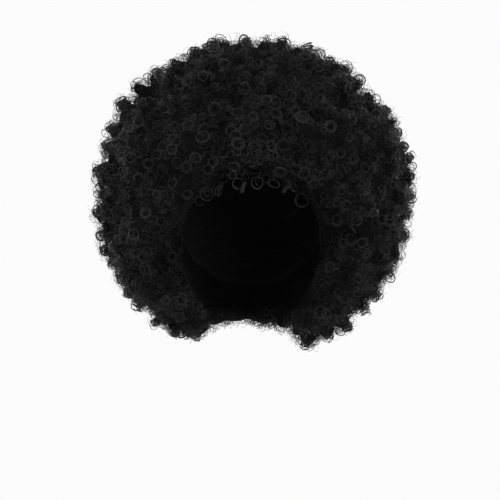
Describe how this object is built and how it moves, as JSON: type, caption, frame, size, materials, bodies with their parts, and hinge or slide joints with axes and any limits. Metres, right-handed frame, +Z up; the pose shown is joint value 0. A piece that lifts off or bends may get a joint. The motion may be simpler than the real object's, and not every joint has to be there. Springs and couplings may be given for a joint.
{
  "type": "wig",
  "caption": "Round afro wig: a stretch cap open at the face and neck, covered all over in a deep ball of tight black ringlets.",
  "frame": {"origin": "inside of the cap at the top of the head, on the head's upright axis", "axes": "-Y out through the face opening, +X to the wearer's left, +Z up out of the crown"},
  "size_m": [0.3202, 0.2975, 0.3077],
  "materials": {
    "cap": "black stretch net with rows of sewn weft, matt",
    "hair": "black synthetic fibre set in tight ringlets, soft sheen"
  },
  "bodies": {
    "root": {"cap": "cap", "hair_crown": "hair", "hair_fringe": "hair", "hair_left": "hair", "hair_right": "hair", "hair_back": "hair"}
  },
  "joints": []
}
